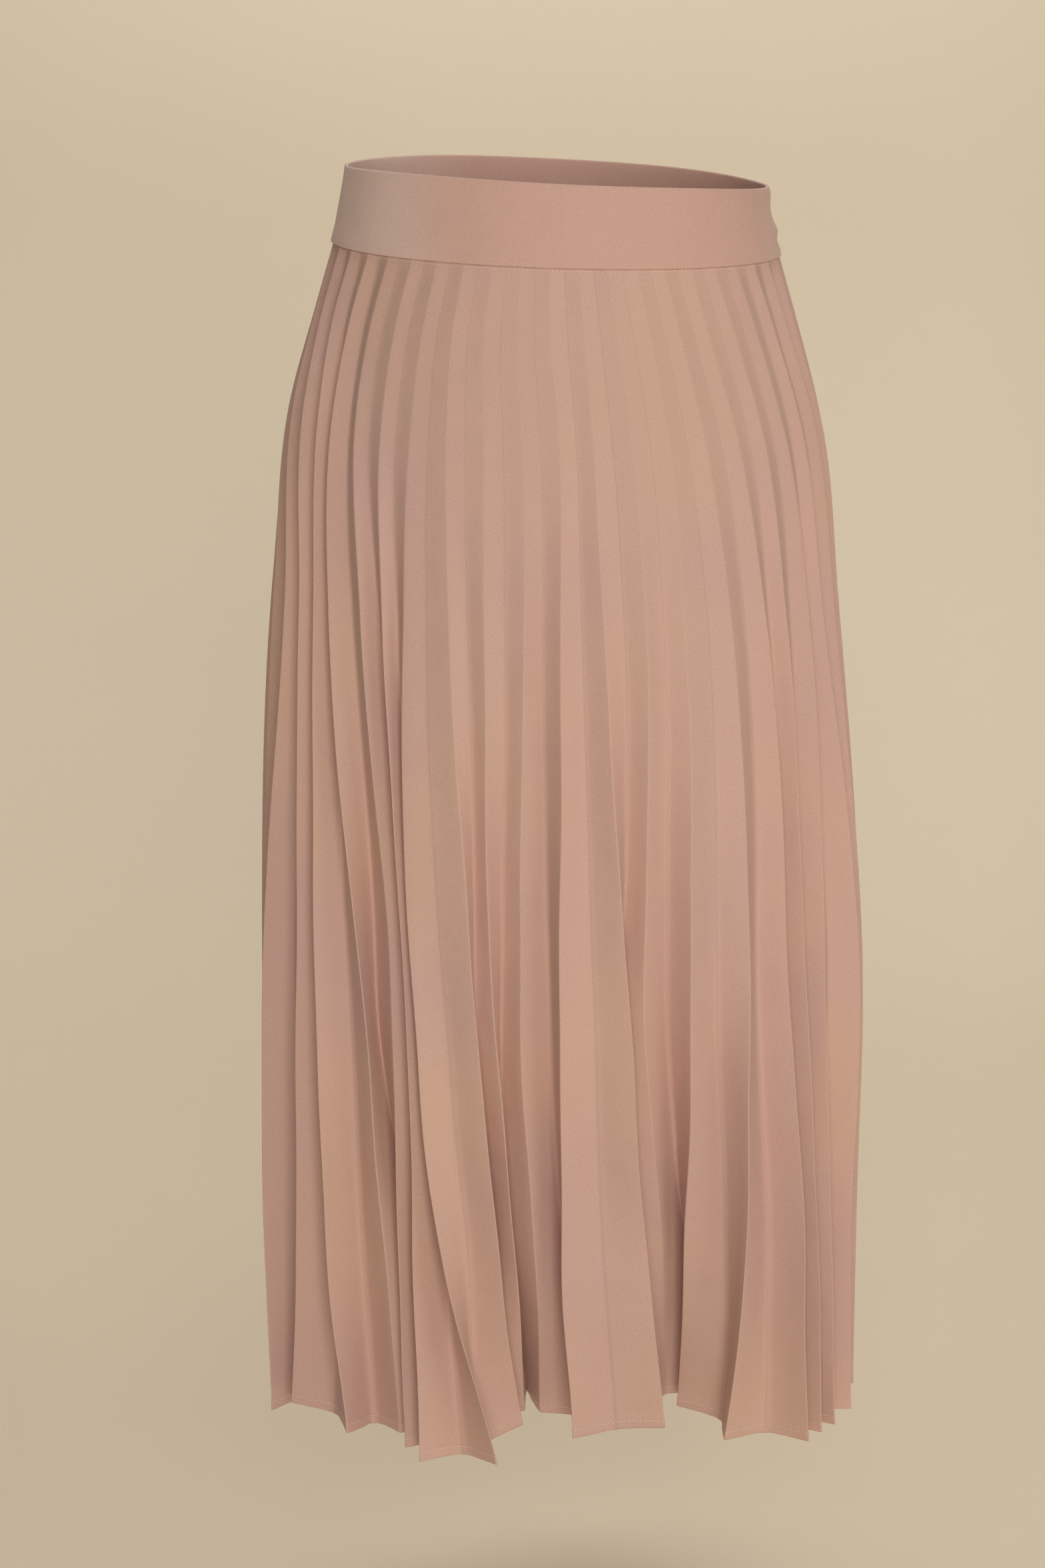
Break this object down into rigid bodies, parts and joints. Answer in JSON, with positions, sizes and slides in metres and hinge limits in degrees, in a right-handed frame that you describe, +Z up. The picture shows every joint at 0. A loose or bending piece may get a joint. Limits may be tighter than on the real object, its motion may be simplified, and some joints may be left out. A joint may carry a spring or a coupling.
{
  "type": "pleated skirt",
  "caption": "Pleated midi skirt on a plain narrow waistband, narrow pleats at the waist widening evenly to a deeply rippled hem, in its worn hollow form.",
  "frame": {"origin": "middle of the waistband's height on the axis of the waist, where the wearer's waist holds the skirt", "axes": "+Z up, the front of the skirt faces -Y, +X is to the right in the front view"},
  "size_m": [0.4225, 0.38, 0.8289],
  "materials": {
    "pleated_cloth": "soft matt twill crepe in dusty rose-tan",
    "waistband_cloth": "the same cloth laid flat over interfacing"
  },
  "bodies": {
    "root": {"waistband_front": "waistband_cloth", "waistband_back": "waistband_cloth", "skirt_front": "pleated_cloth", "skirt_back": "pleated_cloth"}
  },
  "joints": []
}
